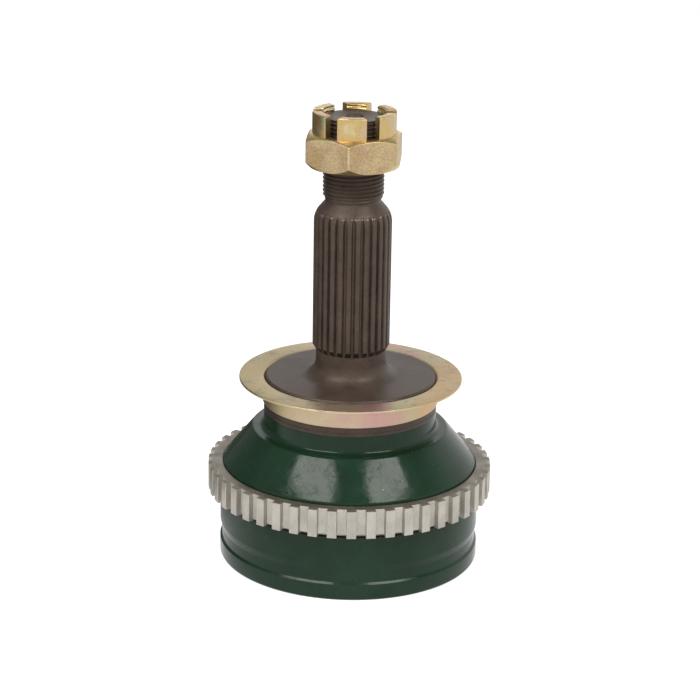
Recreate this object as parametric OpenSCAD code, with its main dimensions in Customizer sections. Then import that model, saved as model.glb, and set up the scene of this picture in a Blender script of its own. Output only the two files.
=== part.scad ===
// Fixed ball joint for the wheel end of a drive shaft, with its stub axle, sensor ring,
// dust shield and castle nut. It stands on the rim of its bell, with Z up along the stub
// axle and the origin at the centre of the rim.

/* [Ball joint] */
// Diameter of each ball
ball_d = 17.46; // [16:0.02:18]
// Diameter of the circle that the ball centres lie on
ball_circle_d = 64; // [62:0.5:65]
// Height of the joint centre above the rim of the bell
joint_z = 21.5; // [20:0.25:23]
// Distance of each track centre from the joint centre
track_offset = 3.2; // [2:0.1:4]
// Highest point of the outer tracks above the joint centre
track_top = 21.5; // [20:0.5:24]
// Depth of the closed end of the bell above the joint centre
cavity_top = 28; // [26.5:0.25:30]

/* [Cage] */
// Thickness of the cage
cage_wall = 5; // [4:0.1:5.2]
// Reach of the cage above the joint centre
cage_up = 14; // [12.5:0.5:15]
// Reach of the cage below the joint centre
cage_down = 13; // [12:0.5:14]
// Corner radius of the cage windows
window_corner = 3.5; // [1:0.5:6]

/* [Inner race] */
// Depth of the inner race's ball inside the circle of the ball centres
race_drop = 1.95; // [1.5:0.05:3]
// Width of the inner race along its bore
race_w = 25; // [22:0.5:27]
// Width of the turned bevel round each end of the inner race
race_bevel = 1.6; // [0.5:0.1:3]
// Diameter over the tooth tips of the shaft spline in the bore
race_spline_tip_d = 25; // [22:0.25:26]
// Depth of the shaft spline's teeth
race_spline_depth = 0.9; // [0.6:0.05:1.4]
// Number of teeth of the shaft spline
race_spline_n = 30; // [24:1:34]

/* [Bell] */
// Thickness of the bell wall over the tracks
bell_wall = 6.51; // [5.5:0.01:8]
// Height of the bead round the rim, out from the wall
bead_proud = 0.15; // [0.05:0.05:0.8]
// Top of the bead above the rim
bead_top = 5.9; // [4:0.1:6.5]
// Radius of the edge round the foot of the bead
rim_round = 1.1; // [0.4:0.1:1.6]
// Length of the ramp from the bead down into the boot groove
bead_ramp = 1.2; // [0.8:0.1:2]
// Depth of the boot groove below the wall
groove_depth = 0.6; // [0.4:0.05:1]
// Width of the boot groove's floor
groove_w = 3.4; // [2:0.1:4]
// Length of the ramp from the boot groove up to the bell wall
groove_ramp = 2.6; // [1:0.1:4]
// Diameter of the mouth at the rim
mouth_d = 75; // [70:0.5:78]
// Depth of the mouth's taper
mouth_h = 7.2; // [6:0.1:8]
// Diameter of the upper end of the bell's cone
cone_top_d = 71.6; // [68:0.2:75]
// Height of the upper end of the bell's cone
cone_top_z = 49.4; // [47:0.2:52]
// Radius of the edge at the upper end of the cone
cone_round = 1.2; // [0.4:0.1:2]

/* [Boss] */
// Diameter of the boss below the dust shield
boss_d = 63.2; // [62.6:0.1:66]
// Radius of the fillet at the foot of the boss
boss_fillet = 1.9; // [0.5:0.1:2.2]
// Depth of the journal that carries the dust shield, below the boss
journal_step = 0.45; // [0.3:0.05:1]
// Height of the bearing shoulder above the rim
shoulder_z = 69; // [66:0.2:72]
// Bevel round the bearing shoulder
shoulder_bevel = 0.65; // [0.3:0.05:0.9]

/* [Stub axle] */
// Radius of the fillet between the bearing shoulder and the neck
neck_fillet = 6; // [3:0.25:7]
// Depth of the neck below the tips of the spline teeth
neck_step = 1.3; // [1.2:0.05:2]
// Length of the neck, from the bearing shoulder to the splines
neck_l = 10.2; // [9:0.2:14]
// Length of the splined stretch
spline_l = 47.8; // [40:0.1:60]
// Radius of the turned shoulder above the splines
top_round = 8; // [2.5:0.25:10]
// Slope of the cone above the splines, measured from the axis
top_slope = 41.4; // [35:0.2:50]
// Depth of the undercut below the crest of the thread
undercut_step = 0.95; // [0.9:0.05:1.6]
// Width of the undercut below the thread
undercut_w = 0.7; // [0.4:0.05:5]
// Outer diameter of the thread
thread_d = 22; // [21:0.05:22.5]
// Pitch of the thread
thread_pitch = 1.5; // [1:0.25:2]
// Length of the threaded end
thread_l = 30.05; // [24:0.05:34]
// Length over which the ridges rise to their full height at the foot of the thread
thread_start = 1.9; // [0.5:0.1:4]
// Bevel on the end of the stub
end_bevel = 0.7; // [0.3:0.05:1]
// Diameter of the split pin hole through the thread
pin_hole_d = 4; // [3:0.1:4.5]
// Distance of the split pin hole from the end of the stub
pin_hole_drop = 9.5; // [7:0.25:12]
// Diameter of the centre drilling in the end of the stub
centre_d = 6.8; // [4:0.1:8]

/* [Hub splines] */
// Number of spline teeth
spline_n = 28; // [24:1:30]
// Diameter over the spline teeth
spline_d = 28.1; // [27.4:0.1:29]
// Depth of the spline grooves
spline_depth = 1.2; // [0.8:0.05:1.3]
// Width of each spline groove at the tooth tips
spline_gap = 1.4; // [1:0.05:1.6]
// Width of each spline groove at its floor
spline_floor = 0.55; // [0.3:0.05:0.8]
// Length of the bevel on the lower ends of the teeth
spline_bevel = 2; // [1:0.1:3]

/* [Castle nut] */
// Distance across the flats of the nut
nut_af = 32.5; // [30:0.5:34]
// Height of the hexagon
hex_h = 12; // [8:0.25:14]
// Depth of the crown's side inside the flats
crown_inset = 1.2; // [0.8:0.05:2]
// Height of the crown
crown_h = 7.8; // [5:0.1:9]
// Width of the crown's slots
slot_w = 4.9; // [4:0.1:6]
// Depth of the crown's slots
slot_h = 8; // [6:0.1:8.6]
// Turn of the crown's slots against the hexagon
crown_turn = 2.4; // [-5:0.2:5]
// Depth of the edge of the hexagon's top face inside the flats
face_inset = 0.6; // [0.3:0.05:1]
// Angle of the bevel at the top of the hexagon
nut_bevel = 30; // [20:1:35]
// Depth of the edge of the nut's foot inside the flats
foot_inset = 0.15; // [0.05:0.05:1]
// Angle of the bevel at the foot of the hexagon
foot_bevel = 45; // [30:1:48]
// Height of the crown above the end of the stub, where the nut is stored
nut_proud = 2; // [0:0.1:4]

/* [Sensor ring] */
// Number of teeth of the sensor ring
ring_teeth = 47; // [40:1:52]
// Depth of the step in the bell wall that the sensor ring sits on
ring_step = 1.1; // [0.6:0.1:2]
// Thickness of the ring behind its teeth
ring_web = 3.4; // [2.4:0.1:4.5]
// Height of the step that the sensor ring sits on
ring_z = 25.6; // [22:0.2:27]
// Height of the sensor ring
ring_h = 10.2; // [8:0.1:11]
// Length of the ring's seat that stands above the ring
ring_seat_spare = 0.8; // [0.4:0.1:2]
// Depth of the gaps between the teeth
tooth_depth = 2.2; // [1:0.1:3]
// Width of each tooth
tooth_w = 3.4; // [2.4:0.1:4]
// Bevel under the web between the teeth
web_bevel = 0.75; // [0.3:0.05:1.2]

/* [Dust shield] */
// Outer diameter of the dust shield
shield_d = 81.4; // [74:0.2:86]
// Thickness of the shield's sheet
shield_t = 0.95; // [0.6:0.05:1.2]
// Height of the shield's collar, with the flange
shield_h = 9.2; // [6:0.1:11]
// Depth of the flange's face below the bearing shoulder
shield_drop = 0.35; // [0.1:0.05:1]
// Radius of the bend between the collar and the flange
shield_bend = 1.5; // [1.2:0.1:2]

/* [Fits] */
// Gap between the spheres of the bell, the cage and the inner race
sphere_gap = 0.15; // [0.1:0.01:0.2]
// Gap between each ball and the floor of its tracks
track_gap = 0.2; // [0.18:0.01:0.3]
// Gap above and below each ball in its window
window_gap = 0.3; // [0.26:0.01:0.4]
// Room at each side of a ball in its window
window_room = 1.6; // [1.2:0.1:2.5]
// Gap between the crest of the thread and the bore of the nut
thread_gap = 0.1; // [0.05:0.01:0.2]

/* [Hidden] */
$fn = 96;

// Six balls stand at equal turns, half a turn from the tilting axis, which lies along X
BALLS = 6;
ball_step = 360 / BALLS;
first_ball = ball_step / 2;

// Turns seen from above, measured from +X, that line the repeats up as the photograph has them
spline_turn = -88;
tooth_turn = -88.6;
nut_turn = -95.8;

// Spheres and tracks of the joint
ball_r = ball_d / 2;
race_r = ball_circle_d / 2 - race_drop;
cage_in_r = race_r + sphere_gap;
cage_out_r = cage_in_r + cage_wall;
cavity_r = cage_out_r + sphere_gap;
track_r = ball_r + track_gap;
track_ring_r = sqrt(pow(ball_circle_d / 2, 2) + pow(track_offset, 2));
track_reach = 60;

// Radii of the bell, of the seats on it and of the ring and the shield that they carry
wall_r = track_ring_r + track_r + bell_wall;
seat_r = wall_r - ring_step;
web_r = seat_r + ring_web;
tooth_r = web_r + tooth_depth;
journal_r = boss_d / 2 - journal_step;

// Radii of the stub axle
neck_r = spline_d / 2 - neck_step;
undercut_r = thread_d / 2 - undercut_step;

// Heights up the stub axle
collar_z = shoulder_z - shield_drop - shield_h;
spline_z = shoulder_z + neck_l;
spline_top_z = spline_z + spline_l;
round_z = spline_top_z + top_round * sin(top_slope);
round_r = spline_d / 2 - top_round * (1 - cos(top_slope));
undercut_z = round_z + (round_r - undercut_r) / tan(top_slope);
thread_z = undercut_z + undercut_w;
stub_z = thread_z + thread_l;

// Thread form: depth of the groove, and the flats on its crest and its root
thread_depth = 0.61 * thread_pitch;
crest_w = thread_pitch / 8;
root_w = thread_pitch / 4;
flank_w = (thread_pitch - crest_w - root_w) / 2;
thread_turns = floor((thread_l - end_bevel - thread_pitch) / thread_pitch);

// The nut hangs on the thread with its crown proud of the stub
nut_h = hex_h + crown_h;
nut_z = stub_z + nut_proud - nut_h;
nut_bore_r = thread_d / 2 + thread_gap;
hex_r = nut_af / 2 / cos(30);
nut_face_r = nut_af / 2 - face_inset;
nut_foot_r = nut_af / 2 - foot_inset;
crown_r = nut_af / 2 - crown_inset;
nut_edge = 0.6;
thread_relief = 0.5;

// Small overlap that makes cuts run clear of the faces that they cut
cut = 1;

// Half plane profile of a turned corner: the concave fillet of radius r in the corner
// at (x, y) whose free quadrant points along sx and sy
module fillet(x, y, r, sx, sy) {
    difference() {
        translate([x + (sx < 0 ? -r : 0), y + (sy < 0 ? -r : 0)]) square(r);
        translate([x + sx * r, y + sy * r]) circle(r);
    }
}

// The waste of a rounded outer corner at (x, y) whose solid quadrant points along sx and sy
module corner_waste(x, y, r, sx, sy) {
    difference() {
        translate([x + (sx < 0 ? -r : -cut), y + (sy < 0 ? -r : -cut)]) square(r + cut);
        translate([x + sx * r, y + sy * r]) circle(r);
    }
}

// Places its children at every ball
module at_balls(first = 0, last = BALLS - 1) {
    for (i = [first:last]) rotate([0, 0, first_ball + i * ball_step]) children();
}

// Profile of the bell and its boss, up to the bearing shoulder
module bell_profile() {
    bead_r = wall_r + bead_proud;
    groove_r = wall_r - groove_depth;
    groove_z = bead_top + bead_ramp;
    groove_top = groove_z + groove_w;
    cone_foot = [seat_r, ring_z + ring_h + ring_seat_spare];
    cone_top = [cone_top_d / 2, cone_top_z];
    cone_way = (cone_top - cone_foot) / norm(cone_top - cone_foot);
    cone_out = [cone_way.y, -cone_way.x];
    round_at = cone_top - cone_round * [(1 - cone_out.y) / cone_out.x, 1];
    difference() {
        union() {
            polygon([
                [0, 0],
                [bead_r, 0],
                [bead_r, bead_top],
                [groove_r, groove_z],
                [groove_r, groove_top],
                [wall_r, groove_top + groove_ramp],
                [wall_r, ring_z],
                [seat_r, ring_z],
                cone_foot,
                round_at + cone_round * cone_out,
                [round_at.x, cone_top_z],
                [boss_d / 2, cone_top_z],
                [boss_d / 2, collar_z],
                [journal_r, collar_z],
                [journal_r, shoulder_z - shoulder_bevel],
                [journal_r - shoulder_bevel, shoulder_z],
                [0, shoulder_z],
            ]);
            translate(round_at) circle(cone_round);
            fillet(boss_d / 2, cone_top_z, boss_fillet, 1, 1);
        }
        corner_waste(bead_r, 0, rim_round, -1, 1);
    }
}

// Profile of the stub axle, from the bearing shoulder to its end
module stub_profile() {
    tip_r = spline_d / 2;
    thread_r = thread_d / 2;
    intersection() {
        union() {
            translate([0, shoulder_z - cut]) square([neck_r, neck_l + cut]);
            fillet(neck_r, shoulder_z, neck_fillet, 1, 1);
            polygon([
                [0, spline_z],
                [neck_r, spline_z],
                [tip_r, spline_z + spline_bevel],
                [tip_r, spline_top_z],
                [0, spline_top_z],
            ]);
            translate([tip_r - top_round, spline_top_z]) circle(top_round);
            polygon([
                [0, spline_top_z],
                [tip_r - top_round, spline_top_z],
                [round_r, round_z],
                [undercut_r, undercut_z],
                [undercut_r, thread_z],
                [thread_r - thread_depth, thread_z],
                for (i = [0:thread_turns - 1])
                    each thread_ridge(thread_z + i * thread_pitch, thread_r, thread_rise(i)),
                [thread_r, thread_z + thread_turns * thread_pitch + flank_w],
                [thread_r, stub_z - end_bevel],
                [thread_r - end_bevel, stub_z],
                [0, stub_z],
            ]);
        }
        square([spline_d, stub_z]);
    }
}

// Share of its full height that a ridge has risen to at the foot of the thread
function thread_rise(i) = min(1, (i + 0.5) * thread_pitch / thread_start);

// One ridge of the thread, as points up the profile
function thread_ridge(z, r, rise) = [
    [r - thread_depth, z],
    [r - thread_depth * (1 - rise), z + flank_w],
    [r - thread_depth * (1 - rise), z + flank_w + crest_w],
    [r - thread_depth, z + 2 * flank_w + crest_w],
];

// The balls' tracks: an arc of round section for each ball, about a centre at the height given
module tracks(centre_z) {
    at_balls() translate([0, 0, centre_z])
        rotate([90, 0, 0]) rotate_extrude(angle = 2 * track_reach, start = -track_reach)
            translate([track_ring_r, 0]) circle(track_r);
}

// Room inside the bell: sphere, tracks and tapered mouth
module bell_room() {
    translate([0, 0, joint_z]) intersection() {
        sphere(cavity_r);
        translate([0, 0, -joint_z - cut]) cylinder(r = cavity_r + cut, h = joint_z + cavity_top + cut);
    }
    intersection() {
        tracks(joint_z - track_offset);
        translate([0, 0, -cut]) cylinder(r = wall_r, h = joint_z + track_top + cut);
    }
    mouth_in_r = sqrt(pow(cavity_r, 2) - pow(joint_z - mouth_h, 2));
    mouth_slope = (mouth_d / 2 - mouth_in_r) / mouth_h;
    translate([0, 0, -cut])
        cylinder(r1 = mouth_d / 2 + mouth_slope * cut, r2 = mouth_in_r, h = mouth_h + cut);
}

// One spline groove standing along the axis, cut from h of height
module spline_groove(root_r, tip_r, floor_w, gap_w, h) {
    slope = (gap_w - floor_w) / 2 / (tip_r - root_r);
    far_w = floor_w / 2 + slope * (tip_r + cut - root_r);
    linear_extrude(h)
        polygon([
            [root_r, -floor_w / 2],
            [tip_r + cut, -far_w],
            [tip_r + cut, far_w],
            [root_r, floor_w / 2],
        ]);
}

// Centre drilling in the end of the stub: countersink and pilot hole
module centre_drilling() {
    pilot_r = centre_d * 0.2;
    sink_h = (centre_d / 2 - pilot_r) * tan(60);
    translate([0, 0, stub_z - sink_h]) cylinder(r1 = pilot_r, r2 = centre_d / 2, h = sink_h);
    translate([0, 0, stub_z]) cylinder(d = centre_d, h = cut);
    translate([0, 0, stub_z - sink_h - centre_d / 2]) cylinder(r = pilot_r, h = centre_d);
}

// Bell and stub axle, one forging
module outer_race() {
    color("darkslategray") difference() {
        rotate_extrude() {
            bell_profile();
            stub_profile();
        }
        bell_room();
        for (i = [0:spline_n - 1])
            rotate([0, 0, spline_turn + i * 360 / spline_n])
                translate([0, 0, spline_z - cut])
                    spline_groove(spline_d / 2 - spline_depth, spline_d / 2, spline_floor, spline_gap,
                                  undercut_z - spline_z + cut);
        translate([0, 0, stub_z - pin_hole_drop])
            rotate([90, 0, nut_turn + crown_turn + 30 - 90])
                cylinder(d = pin_hole_d, h = thread_d + cut, center = true);
        centre_drilling();
    }
}

// Toothed ring for the wheel speed sensor, pressed on to the bell
module tone_ring() {
    edge = 0.4;
    color("silver") translate([0, 0, ring_z]) {
        rotate_extrude()
            polygon([
                [seat_r, edge],
                [seat_r + edge, 0],
                [web_r - web_bevel, 0],
                [web_r, web_bevel],
                [web_r, ring_h],
                [seat_r + edge, ring_h],
                [seat_r, ring_h - edge],
            ]);
        intersection() {
            difference() {
                cylinder(r = tooth_r, h = ring_h);
                translate([0, 0, -cut]) cylinder(r = web_r - web_bevel, h = ring_h + 2 * cut);
            }
            for (i = [0:ring_teeth - 1])
                rotate([0, 0, tooth_turn + i * 360 / ring_teeth])
                    translate([seat_r, -tooth_w / 2, 0])
                        cube([tooth_r - seat_r + cut, tooth_w, ring_h]);
        }
    }
}

// Pressed sheet shield on the journal below the bearing shoulder
module dust_shield() {
    in_r = journal_r;
    under_round = shield_bend - shield_t;
    color("khaki") translate([0, 0, collar_z])
        rotate_extrude() difference() {
            union() {
                translate([in_r, 0]) square([shield_t, shield_h]);
                translate([in_r, shield_h - shield_t]) square([shield_d / 2 - in_r, shield_t]);
                fillet(in_r + shield_t, shield_h - shield_t, under_round, 1, -1);
            }
            corner_waste(in_r, shield_h, shield_bend, 1, -1);
        }
}

// Half of the nut's turned section: bevelled hexagon, crown and bore
module nut_profile() {
    clear_r = hex_r + cut;
    top_h = (clear_r - nut_face_r) * tan(nut_bevel);
    foot_h = (clear_r - nut_foot_r) * tan(foot_bevel);
    polygon([
        [nut_bore_r, thread_relief],
        [nut_bore_r + thread_relief, 0],
        [nut_foot_r, 0],
        [clear_r, foot_h],
        [clear_r, hex_h - top_h],
        [nut_face_r, hex_h],
        [crown_r, hex_h],
        [crown_r, nut_h - nut_edge],
        [crown_r - nut_edge, nut_h],
        [nut_bore_r + thread_relief, nut_h],
        [nut_bore_r, nut_h - thread_relief],
    ]);
}

// Castle nut, stored part way down the thread
module castle_nut() {
    color("goldenrod") translate([0, 0, nut_z]) rotate([0, 0, nut_turn]) difference() {
        intersection() {
            cylinder(r = hex_r, h = nut_h + cut, $fn = 6);
            rotate_extrude() nut_profile();
        }
        for (i = [0:2])
            rotate([0, 0, crown_turn + 30 + i * 60])
                translate([-hex_r - cut, -slot_w / 2, nut_h - slot_h])
                    cube([2 * (hex_r + cut), slot_w, slot_h + cut]);
    }
}

// Rounded rectangle round the origin
module window_outline(x, y, r) {
    square([x, y - 2 * r], center = true);
    square([x - 2 * r, y], center = true);
    for (sx = [-1, 1], sy = [-1, 1]) translate([sx * (x / 2 - r), sy * (y / 2 - r)]) circle(r);
}

// Cage that holds the balls in the plane halfway between the two races
module cage() {
    window_h = ball_d + 2 * window_gap;
    window_w = ball_d + 2 * window_room;
    color("dimgray") translate([0, 0, joint_z]) difference() {
        intersection() {
            sphere(cage_out_r);
            translate([0, 0, -cage_down]) cylinder(r = cage_out_r + cut, h = cage_down + cage_up);
        }
        sphere(cage_in_r);
        at_balls() rotate([0, 90, 0])
            linear_extrude(cage_out_r + cut) window_outline(window_h, window_w, window_corner);
    }
}

// Profile of the inner race about its own centre: a ball cut flat and bevelled at both ends
module race_profile() {
    end_r = sqrt(pow(race_r, 2) - pow(race_w / 2, 2));
    intersection() {
        circle(race_r);
        polygon([
            [0, -race_w / 2],
            [end_r - race_bevel, -race_w / 2],
            [race_r, race_bevel - race_w / 2],
            [race_r, race_w / 2 - race_bevel],
            [end_r - race_bevel, race_w / 2],
            [0, race_w / 2],
        ]);
    }
}

// Inner race with its six tracks and splined bore
module inner_race() {
    tip_r = race_spline_tip_d / 2;
    root_r = tip_r + race_spline_depth;
    pitch = PI * race_spline_tip_d / race_spline_n;
    color("gray") difference() {
        translate([0, 0, joint_z]) rotate_extrude() race_profile();
        tracks(joint_z + track_offset);
        translate([0, 0, joint_z - race_w / 2 - cut]) {
            cylinder(r = tip_r, h = race_w + 2 * cut);
            for (i = [0:race_spline_n - 1])
                rotate([0, 0, i * 360 / race_spline_n]) linear_extrude(race_w + 2 * cut)
                    polygon([
                        [tip_r - cut, -pitch * 0.27],
                        [tip_r, -pitch * 0.27],
                        [root_r, -pitch * 0.14],
                        [root_r, pitch * 0.14],
                        [tip_r, pitch * 0.27],
                        [tip_r - cut, pitch * 0.27],
                    ]);
        }
        for (s = [-1, 1])
            translate([0, 0, joint_z]) mirror([0, 0, s > 0 ? 1 : 0])
                translate([0, 0, -race_w / 2])
                    cylinder(r1 = root_r + race_bevel / 2, r2 = tip_r,
                             h = root_r + race_bevel / 2 - tip_r);
    }
}

// One ball in its window
module ball(i) {
    color("lightsteelblue")
        at_balls(i, i) translate([ball_circle_d / 2, 0, joint_z]) sphere(ball_r);
}

module ball_1() { ball(0); }
module ball_2() { ball(1); }
module ball_3() { ball(2); }
module ball_4() { ball(3); }
module ball_5() { ball(4); }
module ball_6() { ball(5); }

outer_race();
tone_ring();
dust_shield();
castle_nut();
cage();
inner_race();
ball_1();
ball_2();
ball_3();
ball_4();
ball_5();
ball_6();
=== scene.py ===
# %% [markdown]
# # A wheel-end ball joint, dressed for its portrait
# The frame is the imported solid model: twelve pieces in their true places, Z up, in metres.
# Here each piece that shows gets a skin worked out with numpy and a finish made of shader
# nodes. The skins keep the solids' sizes and add what the solids leave out: rounded edges,
# a true helix on the thread, rolled sheet edges and the grain of each metal.

import math

import bmesh
import bpy
import numpy as np
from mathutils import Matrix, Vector


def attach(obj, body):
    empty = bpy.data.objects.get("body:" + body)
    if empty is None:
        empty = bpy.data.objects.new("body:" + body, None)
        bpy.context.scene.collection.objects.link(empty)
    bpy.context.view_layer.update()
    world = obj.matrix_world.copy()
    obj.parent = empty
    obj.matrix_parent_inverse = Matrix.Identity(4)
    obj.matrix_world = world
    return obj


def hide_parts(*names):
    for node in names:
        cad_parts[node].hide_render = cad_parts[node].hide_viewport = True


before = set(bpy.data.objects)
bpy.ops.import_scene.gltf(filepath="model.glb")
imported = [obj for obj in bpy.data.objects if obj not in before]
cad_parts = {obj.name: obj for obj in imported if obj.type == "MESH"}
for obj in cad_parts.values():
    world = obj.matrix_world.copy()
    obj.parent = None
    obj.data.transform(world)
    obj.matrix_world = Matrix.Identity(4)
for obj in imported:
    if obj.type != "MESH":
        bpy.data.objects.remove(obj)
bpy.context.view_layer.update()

# %% [markdown]
# ## The camera comes first
# The photo is a long-lens product shot from a little above. Its vanishing lines and the
# ellipses of the bell, the ring and the shield give the camera's height, distance, tilt and
# lens, and a small shift puts the picture's centre where the photographer cropped it. A
# camera placed by eye would hide errors of size behind errors of view, so it is fitted
# first.

# %% Camera
# In pixels of the square picture, then in metres and degrees
PICTURE = 700
FOCAL_PX = 2253.2
CENTRE_PX = (231.7, 311.9)
CAMERA_AT = (0.0, -0.7820, 0.3373)
PITCH, YAW = math.radians(17.395), math.radians(-3.186)

scene = bpy.context.scene
lens = bpy.data.cameras.new("product_lens")
lens.sensor_width = 36.0
lens.lens = FOCAL_PX / PICTURE * lens.sensor_width
lens.shift_x = (PICTURE / 2 - CENTRE_PX[0]) / PICTURE
lens.shift_y = (CENTRE_PX[1] - PICTURE / 2) / PICTURE
lens.clip_start, lens.clip_end = 0.05, 20.0
camera = bpy.data.objects.new("camera", lens)
camera.location = CAMERA_AT
camera.rotation_euler = (math.pi / 2 - PITCH, 0.0, -YAW)
scene.collection.objects.link(camera)
scene.camera = camera
print("lens, mm:", round(lens.lens, 1), "shift:", round(lens.shift_x, 3), round(lens.shift_y, 3))

# %% [markdown]
# ## Mesh helpers
# Primitives and modifiers could build these pieces step by step, but each size would then
# hang on the step before. Here nearly every skin is a grid of points: one direction goes
# round the axis, the other runs along a profile. One function joins a grid's rows by faces,
# one turns points and faces into a piece that rides on its body, one rounds the corners of
# a profile, and one turns a profile about the axis. Sizes are in millimetres until the mesh
# is made.

# %% Meshes from grids
MM = 0.001


def grid_faces(rows, columns, closed_rows=False, closed_columns=True, first=0):
    """Quads over a grid of rows by columns points; a closed direction joins its end to its start."""
    i = np.arange(rows if closed_rows else rows - 1)[:, None]
    j = np.arange(columns if closed_columns else columns - 1)[None, :]
    up, side = (i + 1) % rows, (j + 1) % columns
    quads = np.stack([i * columns + j, i * columns + side, up * columns + side, up * columns + j], -1)
    return (quads.reshape(-1, 4) + first).tolist()


def add_mesh(name, points, faces, body, node, sharp):
    """Piece from points in mm and faces, its doubles merged, smooth but for edges over sharp degrees.
    It rides on a body and takes the place of a node of the frame."""
    points = np.asarray(points, float).reshape(-1, 3)
    mesh = bpy.data.meshes.new(name)
    mesh.from_pydata((points * MM).tolist(), [], faces)
    work = bmesh.new()
    work.from_mesh(mesh)
    bmesh.ops.remove_doubles(work, verts=work.verts, dist=2e-7)
    bmesh.ops.dissolve_degenerate(work, edges=work.edges, dist=1e-7)
    work.to_mesh(mesh)
    work.free()
    mesh.shade_smooth()
    mesh.set_sharp_from_angle(angle=math.radians(sharp))
    piece = bpy.data.objects.new(name, mesh)
    scene.collection.objects.link(piece)
    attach(piece, body)
    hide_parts(node)
    print(f"{name}: {len(mesh.polygons)} faces, z {points[:, 2].min():.2f} to {points[:, 2].max():.2f} mm")
    return piece


# %% Profiles


def rounded(corners, steps=7):
    """Profile whose corners (r, z, radius) become arcs: each arc touches both of its sides."""
    path = [np.array(corners[0][:2], float)[None]]
    for before, corner, after in zip(corners, corners[1:], corners[2:]):
        p, radius = np.array(corner[:2], float), corner[2]
        a, b = np.array(before[:2]) - p, np.array(after[:2]) - p
        a, b = a / np.linalg.norm(a), b / np.linalg.norm(b)
        if radius <= 0:
            path.append(p[None])
            continue
        half = math.acos(np.clip(a @ b, -1, 1)) / 2
        centre = p + (a + b) / np.linalg.norm(a + b) * radius / math.sin(half)
        start, end = (p + side * radius / math.tan(half) - centre for side in (a, b))
        t, turn = np.linspace(0, 1, steps)[:, None], math.pi - 2 * half
        path.append(centre + (np.sin((1 - t) * turn) * start + np.sin(t * turn) * end) / math.sin(turn))
    path.append(np.array(corners[-1][:2], float)[None])
    return np.concatenate(path)


def around(radius, height, turn):
    """Grid of points x = r cos a, y = r sin a, z = h; the three arrays fill each other out."""
    radius, height, turn = np.broadcast_arrays(radius, height, turn)
    return np.stack([radius * np.cos(turn), radius * np.sin(turn), height], -1)


print("points of one rounded corner:", len(rounded([(0, 0, 0), (9, 0, 2), (9, 9, 0)])) - 2)

# %% [markdown]
# ## The bell and its boss
# The real part is one forging, turned all over and then painted. A bevel modifier could
# soften a rough model, but with one width for all edges. A turned shape is a profile
# carried round an axis, so the skin is a lathe surface, and each corner of the profile has
# a round of its own size. It is those small rounds that catch the light. From the rim up
# the outline has a bead, the boot's groove, the wall, a shallow relief under the sensor
# ring, the ring's seat, the cone, the boss, the shield's seat, the face that the bearing
# sits on and the fillet of the neck.

# %% Bell, outside
MOUTH_R, BEAD_R, GROOVE_R, WALL_R = 37.5, 47.75, 47.0, 47.6
RELIEF_R, RELIEF_Z = 46.75, 24.5
SEAT_R, RING_Z = 46.5, 25.6
BOSS_R, BOSS_Z, MASK_R = 31.6, 49.4, 31.35
JOURNAL_R, COLLAR_Z = 31.15, 59.45
NECK_R, NECK_Z, NECK_TOP = 12.75, 69.0, 79.2

bell_outline = rounded([
    (MOUTH_R, 0.0, 0), (46.9, 0.0, 0), (BEAD_R, 0.0, 1.1), (BEAD_R, 6.05, 0.3),
    (GROOVE_R, 6.85, 0.35), (GROOVE_R, 10.5, 0.8), (WALL_R, 13.1, 1.2), (WALL_R, 24.1, 0.15),
    (RELIEF_R, RELIEF_Z, 0.1), (RELIEF_R, RING_Z, 0.05), (SEAT_R, RING_Z, 0.05), (SEAT_R, 36.6, 0.9),
    (35.8, BOSS_Z, 1.2), (BOSS_R, BOSS_Z, 1.9), (BOSS_R, 56.95, 0.1), (MASK_R, 57.35, 0.1),
    (MASK_R, COLLAR_Z, 0.05), (JOURNAL_R, COLLAR_Z, 0.05), (JOURNAL_R, 68.35, 0.15),
    (30.5, NECK_Z, 0.15), (NECK_R, NECK_Z, 6.0), (NECK_R, NECK_TOP, 0), (0.0, NECK_TOP, 0),
])
print("bell profile points:", len(bell_outline))

# %% [markdown]
# ## The room inside the bell
# The inside is a ball-shaped hollow with six tracks, each the path of a round cutter about
# a centre below the joint's own. Six booleans could cut them, but would leave thin faces
# along every edge. In a grid the cut is only a choice: at each height the wall lies at the
# hollow's radius or at the track's, whichever is further out. The columns of the grid slide
# so that one always lies on the edge where a track cuts the hollow, which keeps that edge
# clean.

# %% The hollow
JOINT_Z = 21.5
TRACK_OFFSET = 3.2
TRACK_Z = JOINT_Z - TRACK_OFFSET
BALL_D, BALL_CIRCLE_R, TRACK_PLAY = 17.46, 32.0, 0.2
TRACK_R = BALL_D / 2 + TRACK_PLAY
TRACK_RING_R = math.hypot(BALL_CIRCLE_R, TRACK_OFFSET)
CAVITY_R, MOUTH_H = 35.35, 7.2
TRACK_TOP, ROOM_TOP = 43.0, 49.5
TRACK_STEP = math.radians(30)
PROBE_FROM, PROBE_REACH, PROBES, FINE_TURNS, HALVINGS = 0.8 * BALL_CIRCLE_R, 25.0, 160, 241, 30


def hollow_radius(z):
    """Radius of the mouth's cone up to its top, then of the spherical hollow."""
    ball = np.sqrt(np.maximum(CAVITY_R ** 2 - (z - JOINT_Z) ** 2, 0))
    cone_top = math.sqrt(CAVITY_R ** 2 - (JOINT_Z - MOUTH_H) ** 2)
    return np.where(z < MOUTH_H, MOUTH_R + (cone_top - MOUTH_R) * z / MOUTH_H, ball)


print("hollow at its middle, mm:", float(hollow_radius(JOINT_Z)), "track ring:", round(TRACK_RING_R, 2))

# %% Its tracks


def in_track(r, turn, z):
    """Whether (sqrt(u^2 + w^2) - R)^2 + v^2 <= t^2: u = r cos turn runs along the track's
    plane, v = r sin turn across it, and w is the height above the track's centre."""
    u, v, w = r * np.cos(turn), r * np.sin(turn), z - TRACK_Z
    return (np.hypot(u, w) - TRACK_RING_R) ** 2 + v ** 2 <= TRACK_R ** 2


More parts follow.
